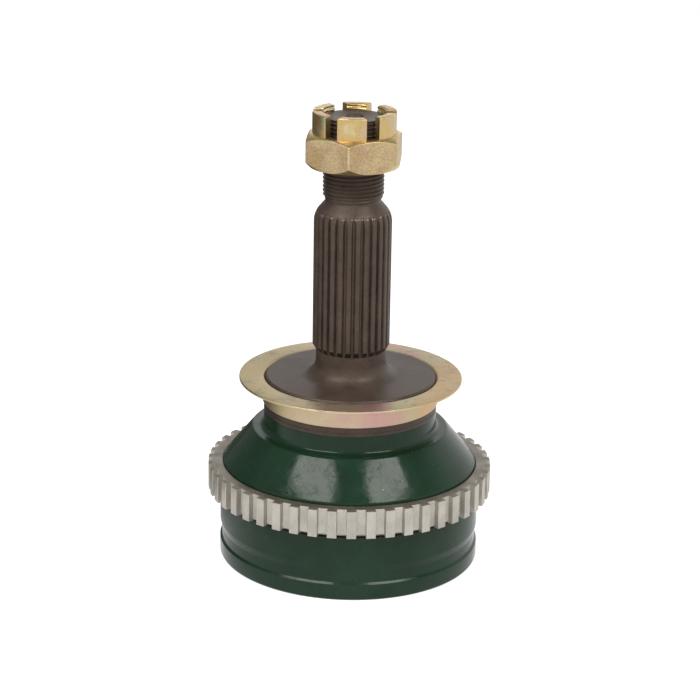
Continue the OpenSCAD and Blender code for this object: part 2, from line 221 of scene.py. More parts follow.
def track_radius(turn, z):
    """Furthest radius inside the track: the last of many probes, then halved again and again."""
    turn, z = np.broadcast_arrays(turn, z)
    probe = PROBE_FROM + PROBE_REACH * np.linspace(0, 1, PROBES)
    inside = in_track(probe, turn[..., None], z[..., None])
    low = probe[PROBES - 1 - np.argmax(inside[..., ::-1], -1)]
    high = low + PROBE_REACH / (PROBES - 1)
    for _ in range(HALVINGS):
        middle = (low + high) / 2
        held = in_track(middle, turn, z)
        low, high = np.where(held, middle, low), np.where(held, high, middle)
    return np.where(inside.any(-1), low, 0.0)


def track_edge(z):
    """Turn from a track's middle to the line where it leaves the hollow, at each height."""
    turns = np.linspace(0, TRACK_STEP, FINE_TURNS)
    deeper = track_radius(turns[None, :], z[:, None]) > hollow_radius(z)[:, None]
    last = FINE_TURNS - 1 - np.argmax(deeper[:, ::-1], 1)
    low = np.where(deeper.any(1), turns[last], 0.0)
    high = np.minimum(low + turns[1], TRACK_STEP)
    for _ in range(HALVINGS):
        middle = (low + high) / 2
        held = track_radius(middle, z) > hollow_radius(z)
        low, high = np.where(held, middle, low), np.where(held, high, middle)
    return np.clip(low, math.radians(1), TRACK_STEP - math.radians(1))


print("track at the joint's height, mm:", round(float(track_radius(0.0, JOINT_Z)), 2))

# %% Bell, whole skin
TRACK_COLUMNS, LAND_COLUMNS = 15, 9
LIP_H, LIP_ROWS, MOUTH_ROWS, WALL_ROWS, DOME_ROWS = 1.2, 5, 9, 44, 8


def room_grid():
    """Points of the hollow from the rim inwards: rows climb, then close the end of the bell.
    A sixth of a turn is one track from its middle to its edge, the land, and both mirrored.
    Known fault: past the land's middle track_radius is asked for the wrong track and gives none,
    so each track is cut on one side of its middle only."""
    z = np.concatenate([np.linspace(0, LIP_H, LIP_ROWS), np.linspace(LIP_H + 0.4, MOUTH_H, MOUTH_ROWS),
                        np.linspace(MOUTH_H + 0.7, TRACK_TOP - 0.01, WALL_ROWS)])
    edge = track_edge(z)[:, None]
    edge[0] = TRACK_STEP * TRACK_COLUMNS / (TRACK_COLUMNS + LAND_COLUMNS)
    land = np.linspace(0, 1, LAND_COLUMNS + 1)[1:]
    half = np.concatenate([edge * np.linspace(0, 1, TRACK_COLUMNS + 1), edge + (TRACK_STEP - edge) * land], 1)
    one = np.concatenate([half, 2 * TRACK_STEP - half[:, -2:0:-1]], 1)
    radius = np.tile(np.maximum(hollow_radius(z)[:, None], track_radius(one, z[:, None])), (1, 6))
    turn = np.concatenate([one + TRACK_STEP * (1 + 2 * k) for k in range(6)], 1)
    dome_z = np.concatenate([[TRACK_TOP], np.linspace(TRACK_TOP + 0.5, ROOM_TOP, DOME_ROWS)])
    dome_r = np.concatenate([hollow_radius(dome_z), [8.0, 0.0]])
    dome_z = np.concatenate([dome_z, [ROOM_TOP, ROOM_TOP]])
    dome = around(dome_r[:, None], dome_z[:, None], turn[-1:])
    return np.concatenate([around(radius, z[:, None], turn), dome])


room = room_grid()
turn = np.arctan2(room[0, :, 1], room[0, :, 0])
shell = around(bell_outline[:, :1], bell_outline[:, 1:], turn)
skin = np.concatenate([room[::-1], shell[1:]])
bell = add_mesh("bell_forging", skin, grid_faces(*skin.shape[:2]), "axle_shell", "outer_race", 28)

# %% [markdown]
# ## The splines
# Twenty-eight straight teeth are rolled into the stub. The blank was turned first: a bevel
# at the lower end, the straight stretch, then a round and a cone up to the undercut.
# Cutting grooves out of the blank would leave long thin faces where they run out. Here each
# column of the grid is one line along the tooth, and its rows are shared out between the
# bevel, the stretch and the shoulder. So the edges where the teeth run out follow the rows
# exactly, and stay crisp however few faces there are.

# %% Sizes of the splines
SPLINES, SPLINE_TURN = 28, math.radians(-88)
SPLINE_TIP, SPLINE_DEPTH, SPLINE_BEVEL = 14.05, 1.2, 2.0
GROOVE_OPEN, GROOVE_FLOOR, GROOVE_POWER = 3.9, 1.3, 1.3
ARC_R, ARC_Z, ARC_RADIUS = 6.05, 127.0, 8.0
UNDERCUT_R, KNEE_Z = 10.05, 132.29
KNEE_RISE = math.sqrt(ARC_RADIUS ** 2 - (KNEE_Z - ARC_Z) ** 2)
KNEE_R, CONE_FALL = ARC_R + KNEE_RISE, (KNEE_Z - ARC_Z) / KNEE_RISE
UNDERCUT_Z = KNEE_Z + (KNEE_R - UNDERCUT_R) / CONE_FALL


def groove_depth(offset):
    """Depth at an offset in degrees from a groove's middle: the smooth step 3 s^2 - 2 s^3, where s
    is a power of a share that falls from 1 at the floor's edge to 0 where the groove opens."""
    share = np.clip((GROOVE_OPEN - np.abs(offset)) / (GROOVE_OPEN - GROOVE_FLOOR), 0, 1)
    s = share ** GROOVE_POWER
    return SPLINE_DEPTH * s * s * (3 - 2 * s)


def shoulder_radius(z):
    """Turned blank above the teeth: r = a + sqrt(R^2 - (z - c)^2) up to the knee, then the cone
    that leaves the arc there along its tangent."""
    arc = ARC_R + np.sqrt(np.maximum(ARC_RADIUS ** 2 - (z - ARC_Z) ** 2, 0))
    return np.where(z < KNEE_Z, arc, KNEE_R - CONE_FALL * (z - KNEE_Z))


print("knee and undercut, mm:", round(KNEE_R, 2), round(UNDERCUT_Z, 2))

# %% Splined stretch
BEVEL_ROWS, STRETCH_ROWS, SHOULDER_ROWS = 5, 5, 31


def splined_grid():
    """Closed grid of the teeth. Each column climbs the bevel until it meets its tooth's radius, runs
    straight until it meets the shoulder's arc, and follows the shoulder to the undercut."""
    half = np.concatenate([np.linspace(0, GROOVE_FLOOR, 3), np.linspace(GROOVE_FLOOR, GROOVE_OPEN, 9)[1:]])
    offset = np.concatenate([[-180 / SPLINES], -half[:0:-1], half])
    turn = SPLINE_TURN + np.radians(np.concatenate([offset + 360 / SPLINES * k for k in range(SPLINES)]))
    section = SPLINE_TIP - np.tile(groove_depth(offset), SPLINES)
    slope = (SPLINE_TIP - NECK_R) / SPLINE_BEVEL
    bevel_end = NECK_TOP + (section - NECK_R) / slope
    fade = ARC_Z + np.sqrt(ARC_RADIUS ** 2 - (section - ARC_R) ** 2)
    bevel_z = NECK_TOP + (bevel_end - NECK_TOP) * np.linspace(0, 1, BEVEL_ROWS)[:, None]
    stretch_z = bevel_end + (fade - bevel_end) * np.linspace(0, 1, STRETCH_ROWS)[1:, None]
    shoulder_z = fade + (UNDERCUT_Z - fade) * np.linspace(0, 1, SHOULDER_ROWS)[1:, None]
    bevel_r = NECK_R + (bevel_z - NECK_TOP) * slope
    z = np.concatenate([bevel_z, stretch_z, shoulder_z])
    radius = np.concatenate([bevel_r, section + 0 * stretch_z, shoulder_radius(shoulder_z)])
    closed = np.concatenate([0 * radius[:1], radius, 0 * radius[:1]])
    return around(closed, np.concatenate([z[:1], z, z[-1:]]), turn)


grid = splined_grid()
splines = add_mesh("spline_teeth", grid, grid_faces(*grid.shape[:2]), "axle_shell", "outer_race", 27)

# %% [markdown]
# ## The thread
# A real thread climbs one pitch each turn. The rows of this grid climb with it, so nine
# points across each ridge are enough to draw it sharp, and unlike a screw modifier the grid
# can let the thread run out. The ridges rise out of the undercut in a turn or so, and a
# small bevel ends them at the top. The end face carries the centre drilling that the lathe
# and the grinder held the axle by, and a hole for the split pin goes through below it, cut
# with an exact boolean, since it follows no row or column.

# %% Threaded end
PITCH_MM, CREST, CORE = 1.5, 11.0, 10.085
THREAD_Z, THREAD_START, STUB_Z, END_R = 135.26, 1.9, 165.31, 10.72
THREAD_COLUMNS, THREAD_SHARP = 120, 50
ridge_at = np.array([0.0, 0.17, 0.35, 0.58, 0.83, 0.89, 0.97, 1.03, 1.27])
ridge_share = np.array([0.03, 0.0, 0.03, 0.50, 0.96, 1.0, 1.0, 0.96, 0.48])


def threaded_stub():
    """Grid from the foot up the helix z = k pitch + offset + pitch turn / 2 pi, then over the end.
    The foot stands inside the splined stretch, and the end turns in to the centre drilling."""
    ridges = np.arange(-1, int((STUB_Z - THREAD_Z) / PITCH_MM) + 2)
    turn = np.linspace(0, 2 * np.pi, THREAD_COLUMNS + 1)
    rise = PITCH_MM * turn[None, :] / (2 * np.pi)
    z = THREAD_Z + (ridges[:, None] * PITCH_MM + ridge_at[None, :]).reshape(-1, 1) + rise
    z = np.clip(z, THREAD_Z, STUB_Z)
    share = np.tile(ridge_share, len(ridges))[:, None] * np.clip((z - THREAD_Z) / THREAD_START, 0, 1)
    radius = np.minimum(CORE + (CREST - CORE) * share, END_R + (STUB_Z - z))
    radius = np.where(z <= THREAD_Z, UNDERCUT_R, np.where(z >= STUB_Z, END_R, radius))
    below = np.array([[0.0, 133.4], [10.8, 133.4], [UNDERCUT_R, UNDERCUT_Z], [UNDERCUT_R, 135.2]])
    above = np.array([[10.5, STUB_Z], [3.5, STUB_Z], [3.3, 165.2], [1.36, 161.9], [1.36, 159.1],
                      [0.0, 158.4]])
    low, high = (around(part[:, :1], part[:, 1:], turn) for part in (below, above))
    return np.concatenate([low, around(radius, z, turn), high])


grid = threaded_stub()
faces = grid_faces(*grid.shape[:2], closed_columns=False)
stub = add_mesh("threaded_stub", grid, faces, "axle_shell", "outer_race", THREAD_SHARP)

# %% Split pin's hole
PIN_HOLE_R, PIN_HOLE_Z, PIN_HOLE_TURN = 2.0, 155.81, math.radians(-63.4)
DRILL_SIDES, DRILL_REACH = 48, 20


def drill(piece, radius, height, turn):
    """Cuts a level hole right through a piece: a cylinder along the turn, taken off by a boolean."""
    t = np.linspace(0, 2 * np.pi, DRILL_SIDES, endpoint=False)[:, None]
    along = np.array([math.cos(turn), math.sin(turn), 0.0])
    across = np.array([-math.sin(turn), math.cos(turn), 0.0])
    circle = radius * (np.cos(t) * across + np.sin(t) * np.array([0, 0, 1])) + np.array([0, 0, height])
    points = np.concatenate([circle - DRILL_REACH * along, circle + DRILL_REACH * along])
    ends = [tuple(range(DRILL_SIDES - 1, -1, -1)), tuple(range(DRILL_SIDES, 2 * DRILL_SIDES))]
    mesh = bpy.data.meshes.new("drill")
    mesh.from_pydata((points * MM).tolist(), [], grid_faces(2, DRILL_SIDES) + ends)
    tool = bpy.data.objects.new("drill", mesh)
    scene.collection.objects.link(tool)
    cut = piece.modifiers.new("hole", "BOOLEAN")
    cut.operation, cut.solver, cut.object = "DIFFERENCE", "EXACT", tool
    bpy.context.view_layer.update()
    drilled = bpy.data.meshes.new_from_object(piece.evaluated_get(bpy.context.evaluated_depsgraph_get()))
    piece.modifiers.clear()
    piece.data = drilled
    bpy.data.objects.remove(tool)
    print(f"{piece.name}: {len(drilled.polygons)} faces with its hole")


drill(stub, PIN_HOLE_R, PIN_HOLE_Z, PIN_HOLE_TURN)
stub.data.shade_smooth()
stub.data.set_sharp_from_angle(angle=math.radians(THREAD_SHARP))

# %% [markdown]
# ## The sensor ring
# The ring is pressed and sintered from powder, so its teeth are plain blocks with parallel
# sides and slightly softened edges. An array of blocks would need a boolean to become one
# piece. In the grid each column is a vertical section, either of a tooth or of the web
# between two teeth, and pairs of columns stand close together where one turns into the
# other.

# %% Sensor ring
RING_TEETH, RING_TURN = 47, math.radians(-88.6)
RING_R, WEB_R, RING_H, TOOTH_W = 52.1, 49.9, 10.2, 3.4
WEB_BEVEL, SEAT_BEVEL, SOFT, ROOT, STEP, EDGE = 0.75, 0.4, 0.16, 0.14, 0.1, 0.02


def ring_grid():
    """Closed grid: columns step tooth by tooth, rows go out under the ring, up its face and back."""
    third = SOFT / 3
    back = [[SEAT_R + SEAT_BEVEL, RING_H], [SEAT_R, RING_H - SEAT_BEVEL], [SEAT_R, SEAT_BEVEL]]
    foot = [[SEAT_R + SEAT_BEVEL, 0], [WEB_R - WEB_BEVEL, 0]]
    tooth = np.array(foot + [
        [RING_R - SOFT, 0], [RING_R - third, third], [RING_R, SOFT], [RING_R, RING_H - SOFT],
        [RING_R - third, RING_H - third], [RING_R - SOFT, RING_H], [WEB_R - SOFT, RING_H]] + back)
    web = np.array(foot + [
        [WEB_R - STEP, WEB_BEVEL - STEP], [WEB_R - EDGE, WEB_BEVEL - EDGE], [WEB_R, WEB_BEVEL + STEP],
        [WEB_R, RING_H - SOFT], [WEB_R - third, RING_H - third], [WEB_R - SOFT, RING_H],
        [WEB_R - 2 * SOFT, RING_H]] + back)
    corner, flank = web.copy(), tooth.copy()
    corner[2:8, 0] += STEP
    flank[:, 0] = np.where(flank[:, 0] > WEB_R, flank[:, 0] - ROOT, flank[:, 0])
    sections = np.stack([web, corner, flank, tooth, tooth, flank, corner, web], 1)
    left = np.array([-ROOT, 0, EDGE, SOFT]) - TOOTH_W / 2
    turn = np.arcsin(np.concatenate([left, -left[::-1]]) / sections[..., 0])
    pitch = 2 * np.pi / RING_TEETH
    sections = np.concatenate([web[:, None], sections], 1)
    turn = np.concatenate([np.full((len(web), 1), -pitch / 2), turn], 1)
    turn = np.concatenate([turn + RING_TURN + pitch * k for k in range(RING_TEETH)], 1)
    radius, height = (np.tile(sections[..., k], (1, RING_TEETH)) for k in (0, 1))
    return around(radius, height + RING_Z, turn)


grid = ring_grid()
faces = grid_faces(*grid.shape[:2], closed_rows=True)
ring = add_mesh("sensor_ring", grid, faces, "axle_shell", "tone_ring", 34)

# %% [markdown]
# ## The dust shield
# A pressed steel ring: a short collar that grips the boss and a flat flange. Pressing
# leaves a rolled bend at the inner edge and a slightly rounded sheared edge outside. A bent
# line made thick by a modifier would come close, but the two faces of the sheet and its
# sheared edges have rounds of their own, so the whole section is drawn and turned.

# %% Dust shield
FLANGE_TOP, SHEET, SHIELD_R = 68.65, 0.95, 40.7
COLLAR_IN, COLLAR_MIDDLE, SHIELD_COLUMNS = JOURNAL_R + 0.02, 31.6, 300

shield_outline = rounded([
    (COLLAR_MIDDLE, COLLAR_Z, 0), (JOURNAL_R + SHEET, COLLAR_Z, 0.12),
    (JOURNAL_R + SHEET, FLANGE_TOP - SHEET, 0.6), (SHIELD_R, FLANGE_TOP - SHEET, 0.14),
    (SHIELD_R, FLANGE_TOP, 0.3), (COLLAR_IN, FLANGE_TOP, 1.5), (COLLAR_IN, COLLAR_Z, 0.12),
    (COLLAR_MIDDLE, COLLAR_Z, 0),
])
turn = np.linspace(0, 2 * np.pi, SHIELD_COLUMNS, endpoint=False)
grid = around(shield_outline[:-1, :1], shield_outline[:-1, 1:], turn)
faces = grid_faces(*grid.shape[:2], closed_rows=True)
shield = add_mesh("pressed_shield", grid, faces, "axle_shell", "dust_shield", 40)

# %% [markdown]
# ## The castle nut
# The hexagon's corners are turned off by a cone above and a cone below. A prism cut by two
# cones would get its creases wherever the faces happen to fall. So each column of the grid
# climbs the lower cone, then the flat, then the upper cone, and changes over just where
# they meet. That draws the scalloped edges exactly. The crown's six teeth are blocks
# between milled slots, each a closed loop carried upwards, with rounded tops. The bore has
# its own thread, which leaves the serrated edge that shows at each slot.

# %% Nut, hexagon
NUT_Z, HEX_H, NUT_H = 147.51, 12.0, 19.8
NUT_TURN, CROWN_TURN = math.radians(-95.8), PIN_HOLE_TURN - math.radians(30)
FLAT_R, CORNER_R, TOP_FACE_R, FOOT_FACE_R, BORE_R = 16.25, 18.62, 15.65, 16.1, 11.1
TOP_SLOPE, FOOT_SLOPE = math.tan(math.radians(30)), 1.0
FOOT_SOFT, CREASE_BELOW, CREASE_ABOVE, BORE_RIDGE = 0.12, 0.06, 0.035, 0.9
corner_degrees = np.array([0, 0.35, 0.7, 1.0, 1.5, 2.5])


def nut_bore(z, turn):
    """Radius of the bore: ridges that climb with the turn, z = pitch turn / 2 pi, cut to a flat crest."""
    phase = np.mod(z / PITCH_MM - turn / (2 * np.pi), 1)
    return BORE_R + BORE_RIDGE * np.clip(1.6 * np.abs(phase - 0.5) - 0.1, 0, 0.6)


def hexagon_grid():
    """Outer skin from the foot to the crown's base, the flat ring and the bore back down. Each
    column's flat is R / cos(turn from the flat's middle), cut off at the corners' radius."""
    sector = np.concatenate([corner_degrees, np.linspace(5, 55, 21), 60 - corner_degrees[:0:-1]])
    turn = (np.radians(sector) + np.pi / 3 * np.arange(6)[:, None]).ravel()
    flat = np.minimum(FLAT_R / np.cos(np.mod(turn, np.pi / 3) - np.pi / 6), CORNER_R)
    low, high = (flat - FOOT_FACE_R) * FOOT_SLOPE, HEX_H - (flat - TOP_FACE_R) * TOP_SLOPE
    soft = np.minimum(FOOT_SOFT, 0.4 * low)
    foot_cone = [low * 0.5, low - soft]
    sides = [low + soft, low + 0.5, low + (high - low) * 0.35, low + (high - low) * 0.65,
             high - 0.5, high - CREASE_BELOW]
    top_cone = [high + CREASE_ABOVE, high + (HEX_H - high) * 0.5, HEX_H - 0.09 + 0 * high]
    radius = [FOOT_FACE_R + z / FOOT_SLOPE for z in foot_cone] + [flat] * len(sides)
    radius += [TOP_FACE_R + (HEX_H - z) / TOP_SLOPE for z in top_cone]
    start = [np.full_like(turn, r) for r in (BORE_R + 0.8, FOOT_FACE_R - 0.3, FOOT_FACE_R)]
    over = [np.full_like(turn, r) for r in (TOP_FACE_R - 0.15, BORE_R + 0.7)]
    bore_z = np.arange(HEX_H - 0.3, 0.4, -0.2)[:, None] + 0 * turn
    radius = np.concatenate([start, radius, over, nut_bore(bore_z, turn)])
    height = [0 * np.array(start), foot_cone, sides, top_cone, HEX_H + 0 * np.array(over), bore_z]
    return around(radius, np.concatenate(height) + NUT_Z, turn + NUT_TURN)


grid = hexagon_grid()
points, faces = [grid.reshape(-1, 3)], grid_faces(*grid.shape[:2], closed_rows=True)
print("hexagon points:", len(points[0]))

# %% Nut, crown
CROWN_R, CROWN_ROUND, SLOT_W = 15.05, 0.5, 4.9
TOOTH_MIDDLE_R, CORNER_GAP = 13.1, 0.012
round_shares = np.array([1, 0.6, 0.34, 0.15, 0.04, 0])


def half_angle(r):
    """Turn from a tooth's middle to its slot, whose sides are parallel: 30 degrees - asin(w / 2r)."""
    return math.pi / 6 - np.arcsin(SLOT_W / 2 / r)


def crown_tooth(number):
    """Loop of a tooth's section, outer arc, slot side, inner arc, slot side, carried up from a foot
    sunk in the hexagon. Near the top it draws in by R (1 - sqrt(1 - s^2)), where s climbs from 0
    to 1: a quarter round."""
    turn = number * math.pi / 3 + CROWN_TURN
    straight = np.arange(HEX_H, NUT_H - 0.7, 0.22)
    z = np.concatenate([[HEX_H - 0.25], straight, NUT_H - CROWN_ROUND * round_shares])[:, None]
    climb = np.clip((z - NUT_H) / CROWN_ROUND + 1, 0, 1)
    fall = CROWN_ROUND * (1 - np.sqrt(1 - climb ** 2))
    outer = CROWN_R - 0.6 * fall
    across, inward = np.linspace(-1, 1, 15), np.array([0.045, 0.35, 0.65, 0.95])
    arc_a = across * (half_angle(outer) - CORNER_GAP - fall / CROWN_R)
    back_a = across[::-1] * half_angle(BORE_R + 0.3) + 0 * z
    back_r = nut_bore(z, back_a + turn - NUT_TURN) + np.interp(z, [NUT_H - 0.6, NUT_H], [0, 0.5])
    side_r = outer + (back_r[:, :1] - outer) * inward
    side_a = half_angle(side_r) - fall / CROWN_R
    radius = np.concatenate([outer + 0 * arc_a, side_r, back_r, side_r[:, ::-1]], 1)
    angle = np.concatenate([arc_a, side_a, back_a, -side_a[:, ::-1]], 1)
    radius = np.pad(radius, ((1, 1), (0, 0)), constant_values=TOOTH_MIDDLE_R)
    angle = np.pad(angle, ((1, 1), (0, 0)))
    return around(radius, np.concatenate([z[:1], z, z[-1:]]) + NUT_Z, angle + turn)


for number in range(6):
    tooth = crown_tooth(number)
    faces += grid_faces(*tooth.shape[:2], first=sum(map(len, points)))
    points.append(tooth.reshape(-1, 3))
nut = add_mesh("castle_nut_forged", np.concatenate(points), faces, "hub_nut", "castle_nut", 35)

# %% [markdown]
# ## Shader helpers
# Painted images could give these finishes, but they need unwrapped meshes and blur close
# up, so each finish is worked out by nodes. Colours are picked as sRGB hex values and
# turned to linear light by one function. Every pattern reads Object coordinates, which are
# metres in the part's own frame, so a pattern's scale follows from a real size in
# millimetres, and stays on its piece when the piece moves. One function adds every node: it
# sets the node up and fills or links its inputs.

# %% Colours and sizes
MICRON = 1e-6


def linear(code):
    """sRGB hex to linear RGBA: c / 12.92 up to 0.04045, else ((c + 0.055) / 1.055) ^ 2.4."""
    c = np.array([int(code[i:i + 2], 16) / 255 for i in (1, 3, 5)])
    c = np.where(c <= 0.04045, c / 12.92, ((c + 0.055) / 1.055) ** 2.4)
    return (*c.tolist(), 1.0)


def per_mm(size):
    """Texture scale that makes features of about this many millimetres."""
    return 1000.0 / size


print("mid grey in linear light:", round(linear("#808080")[0], 3), "scale of 2 mm grains:", per_mm(2))

# %% Nodes
# Inputs of a mix node by number: the share, two numbers and two colours
SHARE, NUMBER_A, NUMBER_B, COLOUR_A, COLOUR_B = 0, 2, 3, 6, 7
# Spans that hold most of a noise's values and nearly all of them
MOST, NEARLY_ALL = {"From Min": 0.35, "From Max": 0.65}, {"From Min": 0.3, "From Max": 0.7}


def add(tree, kind, sockets=(), **settings):
    """Node of a kind with its settings. Each input that sockets names takes a value, an output,
    or a node, which stands for its first output in use."""
    node = tree.nodes.new("ShaderNode" + kind)
    for key, value in settings.items():
        setattr(node, key, value)
    for key, value in dict(sockets).items():
        if isinstance(value, bpy.types.Node):
            value = next(output for output in value.outputs if output.enabled)
        if isinstance(value, bpy.types.NodeSocket):
            tree.links.new(value, node.inputs[key])
        else:
            node.inputs[key].default_value = value
    return node


def finish(name):
    """Empty material, with its node tree and its object coordinates."""
    material = bpy.data.materials.new(name)
    material.use_nodes = True
    tree = material.node_tree
    tree.nodes.clear()
    return material, tree, add(tree, "TexCoord").outputs["Object"]


def lathe_lines(tree, where, width):
    """Noise that depends only on the radius and the height: the fine rings that turning leaves."""
    place = add(tree, "SeparateXYZ", {"Vector": where})
    level = add(tree, "CombineXYZ", {"X": place.outputs["X"], "Y": place.outputs["Y"]})
    reach = add(tree, "VectorMath", {0: level}, operation="LENGTH")
    rings = add(tree, "CombineXYZ", {"X": reach, "Y": place.outputs["Z"]})
    return add(tree, "TexNoise", {"Vector": rings, "Scale": per_mm(width), "Detail": 2.0})


# %% [markdown]
# ## Phosphated steel
# The stub axle is hardened, ground, then dipped in hot manganese phosphate and oiled. That
# leaves a dark brown-grey skin of fine crystals: hardly any mirror, a soft, warm sheen from
# the oil, and a mottle of a few millimetres where the bath took unevenly. A plain dark grey
# would pass for plastic, so both the mottle and the crystals are drawn. The crystals are a
# few hundredths of a millimetre across and are drawn at 0.6 mm so that they show. Where the
# splines run out at their upper ends, a few are knocked off down to bright steel. A much
# darker copy of the skin is painted shade, on the downward bevels at the splines' lower
# ends and in the relief under the ring.

# %% Phosphated steel
CHIPPED_Z, CHIPPED_HALF = 130.6 * MM, 0.22 * MM


def phosphate_shader(tree, where, low="#3b302a", high="#493d36", chipped=False):
    """Shader of the phosphated skin between two tones: mottled, satin, finely rough."""
    mottle = add(tree, "TexNoise", {"Vector": where, "Scale": per_mm(6), "Detail": 5.0, "Roughness": 0.6})
    crystals = add(tree, "TexNoise", {"Vector": where, "Scale": per_mm(0.6), "Detail": 2.0})
    tone = add(tree, "MapRange", {"Value": mottle, **MOST})
    base = add(tree, "Mix", {SHARE: tone, COLOUR_A: linear(low), COLOUR_B: linear(high)}, data_type="RGBA")
    speck = add(tree, "MapRange", {"Value": crystals, **NEARLY_ALL, "To Min": 0.78, "To Max": 1.22})
    fine = add(tree, "Mix", {SHARE: 1.0, COLOUR_A: base, COLOUR_B: speck},
               data_type="RGBA", blend_type="MULTIPLY")
    if chipped:
        height = add(tree, "SeparateXYZ", {"Vector": where}).outputs["Z"]
        band = add(tree, "Math", {0: height, 1: CHIPPED_Z, 2: CHIPPED_HALF}, operation="COMPARE")
        chips = add(tree, "MapRange", {"Value": crystals, "From Min": 0.585, "From Max": 0.62})
        bright = add(tree, "Math", {0: band, 1: chips}, operation="MULTIPLY")
        fine = add(tree, "Mix", {SHARE: bright, COLOUR_A: fine, COLOUR_B: linear("#b3aaa0")},
                   data_type="RGBA")
    rough = add(tree, "MapRange", {"Value": mottle, **NEARLY_ALL, "To Min": 0.38, "To Max": 0.48})
    bump = add(tree, "Bump", {"Height": crystals, "Strength": 0.3, "Distance": 80 * MICRON})
    return add(tree, "BsdfPrincipled", {
        "Base Color": fine, "Roughness": rough, "Specular IOR Level": 0.55,
        "Specular Tint": (1.0, 0.84, 0.72, 1.0), "Normal": bump})


def phosphated(name, **tones):
    """Material that is phosphated skin all over."""
    material, tree, where = finish(name)
    add(tree, "OutputMaterial", {"Surface": phosphate_shader(tree, where, **tones)})
    return material


phosphate = phosphated("phosphated_steel")
chipped_phosphate = phosphated("phosphated_steel_chipped", chipped=True)
# A much darker copy of the phosphate is painted shade: it darkens the relief under the ring and the splines'
# lower bevels.
scale = phosphated("phosphated_steel_painted_shade", low="#211b18", high="#2b2420")
print("phosphated:", phosphate.name, chipped_phosphate.name, scale.name)

# %% [markdown]
# ## Green enamel over the forging
# The bell is sprayed with gloss enamel up to a masked line on the boss; above it the
# phosphate shows bare. Enamel is a clear binder over a deep colour: the eye sees a dark
# green, reflections of the lamps blurred by fine rub marks and haze, a faint orange peel of
# about 2 mm, and a speck of dust caught in it here and there. Two materials could only part
# along the edges of faces, so one material holds both paint and bare metal. They part at
# the mask's height, which wavers by a tenth of a millimetre or so as a sprayed edge does.

# %% Enamel, colour and wear
PAINT_TOP, PAINT_WAVER, PAINT_EDGE = 56.1 * MM, 0.15 * MM, 0.08 * MM

enamel, tree, where = finish("green_gloss_enamel")
cloud = add(tree, "TexNoise", {"Vector": where, "Scale": per_mm(14), "Detail": 3.0})
tone = add(tree, "MapRange", {"Value": cloud, **MOST})
colour = add(tree, "Mix", {SHARE: tone, COLOUR_A: linear("#172f1f"), COLOUR_B: linear("#1c3726")},
             data_type="RGBA")
stretch = add(tree, "Mapping", {"Vector": where, "Scale": (1.0, 1.0, 0.12)})
rubs = add(tree, "TexNoise", {"Vector": stretch, "Scale": per_mm(0.9), "Detail": 4.0, "Roughness": 0.7})
haze = add(tree, "TexNoise", {"Vector": where, "Scale": per_mm(5), "Detail": 4.0, "Roughness": 0.7})
worn = add(tree, "Math", {0: rubs, 1: haze}, operation="MULTIPLY")
rough = add(tree, "MapRange", {"Value": worn, "From Min": 0.19, "From Max": 0.38,
                               "To Min": 0.09, "To Max": 0.28})
peel = add(tree, "TexNoise", {"Vector": where, "Scale": per_mm(2.2), "Detail": 1.0})
bump = add(tree, "Bump", {"Height": peel, "Strength": 0.35, "Distance": 40 * MICRON})
print("colour and wear nodes:", len(tree.nodes))

# %% Enamel, dust and the masked line
specks = add(tree, "TexVoronoi", {"Vector": where, "Scale": per_mm(3.2)})
grit = add(tree, "MapRange", {"Value": specks, "From Min": 0.05, "From Max": 0.09,
                              "To Min": 1.0, "To Max": 0.0})
rare = add(tree, "Math", {0: specks.outputs["Color"], 1: 0.86}, operation="GREATER_THAN")
spots = add(tree, "Math", {0: grit, 1: rare}, operation="MULTIPLY")
dusty = add(tree, "Mix", {SHARE: spots, COLOUR_A: colour, COLOUR_B: linear("#8d9188")}, data_type="RGBA")
paint = add(tree, "BsdfPrincipled", {
    "Base Color": dusty, "Roughness": rough, "Specular IOR Level": 0.25, "Normal": bump})
height = add(tree, "SeparateXYZ", {"Vector": where}).outputs["Z"]
waver = add(tree, "MapRange", {"Value": cloud, "To Min": -PAINT_WAVER, "To Max": PAINT_WAVER})
line = add(tree, "Math", {0: height, 1: waver}, operation="ADD")
masked = add(tree, "MapRange", {"Value": line, "From Min": PAINT_TOP - PAINT_EDGE,
                                "From Max": PAINT_TOP + PAINT_EDGE})
both = add(tree, "MixShader", {0: masked, 1: paint, 2: phosphate_shader(tree, where)})
add(tree, "OutputMaterial", {"Surface": both})
print("enamel nodes:", len(tree.nodes))

# %% [markdown]
# ## Sintered steel
# Pressed powder has no grain direction: a pale, even grey with fine pores, soft to the eye
# because light scatters at the pores. Oil and dust sit in the pores as dark specks, and the
# faces that look up take a darker copy of the finish. Without the pores it would pass for a
# cast or milled ring, so they are drawn in the colour and in the bump. Pores are about 0.1
# mm across and are drawn at 0.5 mm.

# %% Sintered steel


def sintered_steel(name, low, high):
    """Pressed powder steel between two tones: even, porous, softly shining."""
    material, tree, where = finish(name)
    pores = add(tree, "TexNoise", {"Vector": where, "Scale": per_mm(0.5), "Detail": 3.0, "Roughness": 0.7})
    patch = add(tree, "TexNoise", {"Vector": where, "Scale": per_mm(7), "Detail": 3.0})
    tone = add(tree, "MapRange", {"Value": patch, **MOST})
    base = add(tree, "Mix", {SHARE: tone, COLOUR_A: linear(low), COLOUR_B: linear(high)}, data_type="RGBA")
    dark = add(tree, "MapRange", {"Value": pores, "From Min": 0.58, "From Max": 0.74,
                                  "To Min": 1.0, "To Max": 0.5})
    fine = add(tree, "Mix", {SHARE: 1.0, COLOUR_A: base, COLOUR_B: dark},
               data_type="RGBA", blend_type="MULTIPLY")
    bump = add(tree, "Bump", {"Height": pores, "Strength": 0.3, "Distance": 50 * MICRON})
    powder = add(tree, "BsdfPrincipled", {
        "Base Color": fine, "Metallic": 0.8, "Roughness": 0.44, "Normal": bump})
    add(tree, "OutputMaterial", {"Surface": powder})
    return material


